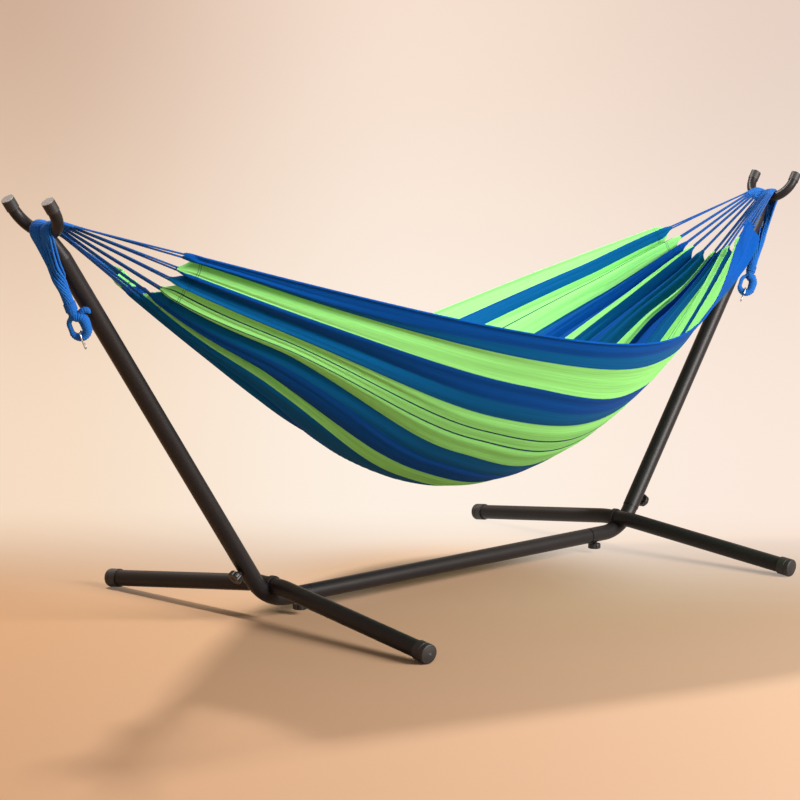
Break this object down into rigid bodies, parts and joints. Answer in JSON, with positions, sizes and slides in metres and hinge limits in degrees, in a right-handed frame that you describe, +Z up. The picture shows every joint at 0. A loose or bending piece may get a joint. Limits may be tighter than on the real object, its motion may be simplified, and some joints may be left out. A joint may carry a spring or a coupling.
{
  "type": "hammock on stand",
  "caption": "Gathered-end cloth hammock slung between the forked ends of a bolted steel-tube floor stand with bowed cross feet.",
  "frame": {"origin": "on the floor, midway between the two feet", "axes": "+X along the stand, +Z up, +Y across towards the bed's shallower side"},
  "size_m": [2.8682, 1.2539, 1.0874],
  "materials": {
    "powder_coat": "charcoal powder coat on welded steel tube",
    "weld_paint": "weld beads under the same powder coat",
    "cap_plastic": "black moulded plastic caps and sleeves",
    "plug_plastic": "pale grey moulded plastic plugs",
    "knob_plastic": "black moulded hand knobs",
    "bolt_steel": "zinc-plated steel bolts",
    "hook_steel": "galvanised steel wire",
    "bed_cloth": "woven cotton in royal blue, teal and lime stripes",
    "cord_cotton": "twisted blue cotton cord"
  },
  "bodies": {
    "stand": {"spine_tube": "powder_coat", "elbow_left": "powder_coat", "arm_left": "powder_coat", "fork_left": "powder_coat", "fork_weld_left": "weld_paint", "elbow_weld_left": "weld_paint", "horn_sleeves_left": "cap_plastic", "horn_plugs_left": "plug_plastic", "foot_long_left": "powder_coat", "foot_short_left": "powder_coat", "foot_collar_left": "powder_coat", "foot_caps_left": "cap_plastic", "spine_nut_left": "powder_coat", "arm_nut_left": "powder_coat", "bar_wrap_left": "cord_cotton", "elbow_right": "powder_coat", "arm_right": "powder_coat", "fork_right": "powder_coat", "fork_weld_right": "weld_paint", "elbow_weld_right": "weld_paint", "horn_sleeves_right": "cap_plastic", "horn_plugs_right": "plug_plastic", "foot_long_right": "powder_coat", "foot_short_right": "powder_coat", "foot_collar_right": "powder_coat", "foot_caps_right": "cap_plastic", "spine_nut_right": "powder_coat", "arm_nut_right": "powder_coat", "bar_wrap_right": "cord_cotton"},
    "hammock": {"hammock_bed": "bed_cloth", "cords_left": "cord_cotton", "cords_right": "cord_cotton"},
    "tail_left": {"tail_bundle_left": "cord_cotton", "whipping_left": "cord_cotton", "served_eye_left": "cord_cotton"},
    "hook_left": {"s_hook_left": "hook_steel"},
    "spine_bolt_left": {"spine_bolt_left": "bolt_steel"},
    "spine_knob_left": {"spine_knob_left": "knob_plastic"},
    "arm_bolt_left": {"arm_bolt_left": "bolt_steel"},
    "arm_knob_left": {"arm_knob_left": "knob_plastic"},
    "tail_right": {"tail_bundle_right": "cord_cotton", "whipping_right": "cord_cotton", "served_eye_right": "cord_cotton"},
    "hook_right": {"s_hook_right": "hook_steel"},
    "spine_bolt_right": {"spine_bolt_right": "bolt_steel"},
    "spine_knob_right": {"spine_knob_right": "knob_plastic"},
    "arm_bolt_right": {"arm_bolt_right": "bolt_steel"},
    "arm_knob_right": {"arm_knob_right": "knob_plastic"}
  },
  "joints": [
    {"name": "hammock_swing", "type": "hinge", "parent": "stand", "child": "hammock", "pos_m": [0, 0, 1.01465], "axis": [1, 0, 0], "range_deg": [-25, 25]},
    {"name": "tail_left_lift", "type": "hinge", "parent": "stand", "child": "tail_left", "pos_m": [-1.38791, 0, 0.9949], "axis": [0, 1, 0], "range_deg": [0, 60]},
    {"name": "hook_left_swing", "type": "hinge", "parent": "tail_left", "child": "hook_left", "pos_m": [-1.28135, -0.014, 0.76214], "axis": [-0.6429, 0.7071, -0.2944], "range_deg": [-45, 45]},
    {"name": "spine_bolt_left_travel", "type": "slide", "parent": "stand", "child": "spine_bolt_left", "axis": [0, 0, -1], "range_m": [0, 0.0025]},
    {"name": "spine_knob_left_turn", "type": "hinge", "parent": "spine_bolt_left", "child": "spine_knob_left", "pos_m": [-0.58234, 0, 0.02312], "axis": [0, 0, -1], "range_deg": [0, 720]},
    {"name": "arm_bolt_left_travel", "type": "slide", "parent": "stand", "child": "arm_bolt_left", "axis": [-0.8177, 0, -0.5756], "range_m": [0, 0.0025]},
    {"name": "arm_knob_left_turn", "type": "hinge", "parent": "arm_bolt_left", "child": "arm_knob_left", "pos_m": [-0.79928, 0, 0.12906], "axis": [-0.8177, 0, -0.5756], "range_deg": [0, 720]},
    {"name": "tail_right_lift", "type": "hinge", "parent": "stand", "child": "tail_right", "pos_m": [1.38769, 0, 0.99444], "axis": [0, -1, 0], "range_deg": [0, 60]},
    {"name": "hook_right_swing", "type": "hinge", "parent": "tail_right", "child": "hook_right", "pos_m": [1.25355, -0.014, 0.71941], "axis": [0.6355, -0.7071, -0.31], "range_deg": [-45, 45]},
    {"name": "spine_bolt_right_travel", "type": "slide", "parent": "stand", "child": "spine_bolt_right", "axis": [0, 0, -1], "range_m": [0, 0.0025]},
    {"name": "spine_knob_right_turn", "type": "hinge", "parent": "spine_bolt_right", "child": "spine_knob_right", "pos_m": [0.58234, 0, 0.02312], "axis": [0, 0, -1], "range_deg": [0, 720]},
    {"name": "arm_bolt_right_travel", "type": "slide", "parent": "stand", "child": "arm_bolt_right", "axis": [0.8177, 0, -0.5756], "range_m": [0, 0.0025]},
    {"name": "arm_knob_right_turn", "type": "hinge", "parent": "arm_bolt_right", "child": "arm_knob_right", "pos_m": [0.79928, 0, 0.12906], "axis": [0.8177, 0, -0.5756], "range_deg": [0, 720]}
  ],
  "couplings": [
    {"joint": "spine_knob_left_turn", "follows": "spine_bolt_left_travel", "rad_per_m": 5026.5},
    {"joint": "arm_knob_left_turn", "follows": "arm_bolt_left_travel", "rad_per_m": 5026.5},
    {"joint": "spine_knob_right_turn", "follows": "spine_bolt_right_travel", "rad_per_m": 5026.5},
    {"joint": "arm_knob_right_turn", "follows": "arm_bolt_right_travel", "rad_per_m": 5026.5}
  ]
}
